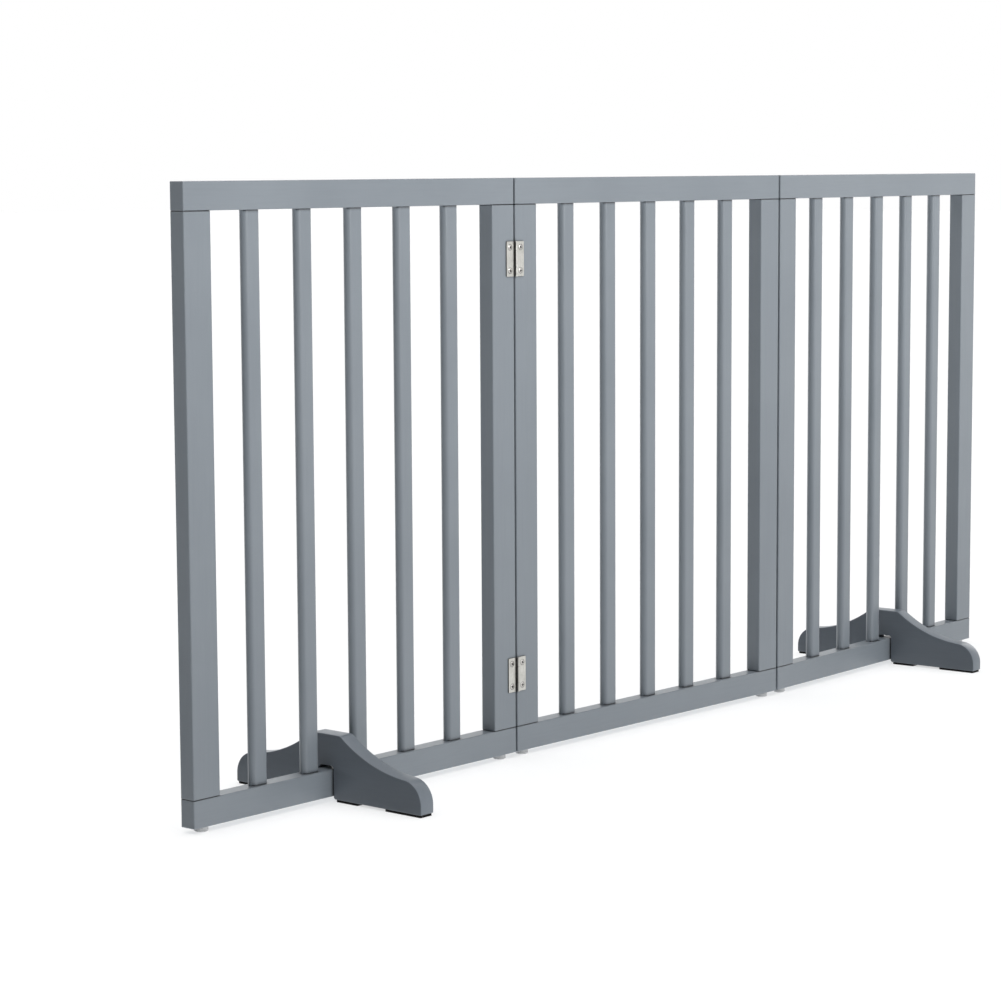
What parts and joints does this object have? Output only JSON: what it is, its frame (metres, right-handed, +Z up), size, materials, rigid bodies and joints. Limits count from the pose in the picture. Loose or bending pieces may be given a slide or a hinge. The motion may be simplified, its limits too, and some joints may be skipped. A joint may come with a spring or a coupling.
{
  "type": "pet gate",
  "caption": "Free-standing folding pet gate of painted wood: slatted panels joined by butt hinges to fold like a Z, on slotted saddle feet with rubber pads.",
  "frame": {"origin": "on the floor under the middle of the gate, at the bottom centre of its box as it stands, with its outer panels a little folded", "axes": "+X along the middle panel to the right-hand panel, -Y to the front, +Z up"},
  "size_m": [1.3905, 0.2702, 0.605],
  "materials": {
    "painted_wood": "satin grey paint",
    "beech": "raw turned dowel",
    "nickel": "satin nickel plate",
    "pin_steel": "bright drawn steel",
    "screw_steel": "bright plated",
    "glide_plastic": "milky translucent",
    "pad_rubber": "matt black"
  },
  "bodies": {
    "middle_panel": {"middle_top_rail": "painted_wood", "middle_bottom_rail": "painted_wood", "middle_left_stile": "painted_wood", "middle_right_stile": "painted_wood", "middle_baluster_1": "painted_wood", "middle_baluster_2": "painted_wood", "middle_baluster_3": "painted_wood", "middle_baluster_4": "painted_wood", "middle_baluster_5": "painted_wood", "middle_dowels": "beech", "middle_glides": "glide_plastic", "left_upper_hinge_inner_leaf": "nickel", "left_upper_hinge_pin": "pin_steel", "left_lower_hinge_inner_leaf": "nickel", "left_lower_hinge_pin": "pin_steel", "left_inner_leaf_screws": "screw_steel", "right_upper_hinge_inner_leaf": "nickel", "right_upper_hinge_pin": "pin_steel", "right_lower_hinge_inner_leaf": "nickel", "right_lower_hinge_pin": "pin_steel", "right_inner_leaf_screws": "screw_steel"},
    "left_panel": {"left_top_rail": "painted_wood", "left_bottom_rail": "painted_wood", "left_outer_stile": "painted_wood", "left_hinge_stile": "painted_wood", "left_baluster_1": "painted_wood", "left_baluster_2": "painted_wood", "left_baluster_3": "painted_wood", "left_baluster_4": "painted_wood", "left_baluster_5": "painted_wood", "left_dowels": "beech", "left_glides": "glide_plastic", "left_upper_hinge_outer_leaf": "nickel", "left_lower_hinge_outer_leaf": "nickel", "left_outer_leaf_screws": "screw_steel"},
    "right_panel": {"right_top_rail": "painted_wood", "right_bottom_rail": "painted_wood", "right_hinge_stile": "painted_wood", "right_outer_stile": "painted_wood", "right_baluster_1": "painted_wood", "right_baluster_2": "painted_wood", "right_baluster_3": "painted_wood", "right_baluster_4": "painted_wood", "right_baluster_5": "painted_wood", "right_dowels": "beech", "right_glides": "glide_plastic", "right_upper_hinge_outer_leaf": "nickel", "right_lower_hinge_outer_leaf": "nickel", "right_outer_leaf_screws": "screw_steel"},
    "left_foot": {"left_foot_board": "painted_wood", "left_foot_inner_pads": "pad_rubber", "left_foot_outer_pads": "pad_rubber"},
    "right_foot": {"right_foot_board": "painted_wood", "right_foot_inner_pads": "pad_rubber", "right_foot_outer_pads": "pad_rubber"}
  },
  "joints": [
    {"name": "left_fold", "type": "hinge", "parent": "middle_panel", "child": "left_panel", "pos_m": [-0.232, -0.01749, 0.3], "axis": [0, 0, 1], "range_deg": [-0.6, 149.4]},
    {"name": "right_fold", "type": "hinge", "parent": "middle_panel", "child": "right_panel", "pos_m": [0.232, 0.00411, 0.3], "axis": [0, 0, 1], "range_deg": [-3.4, 146.6]},
    {"name": "left_foot_lift", "type": "slide", "parent": "left_panel", "child": "left_foot", "axis": [0, 0, 1], "range_m": [0, 0.045]},
    {"name": "right_foot_lift", "type": "slide", "parent": "right_panel", "child": "right_foot", "axis": [0, 0, 1], "range_m": [0, 0.045]}
  ]
}
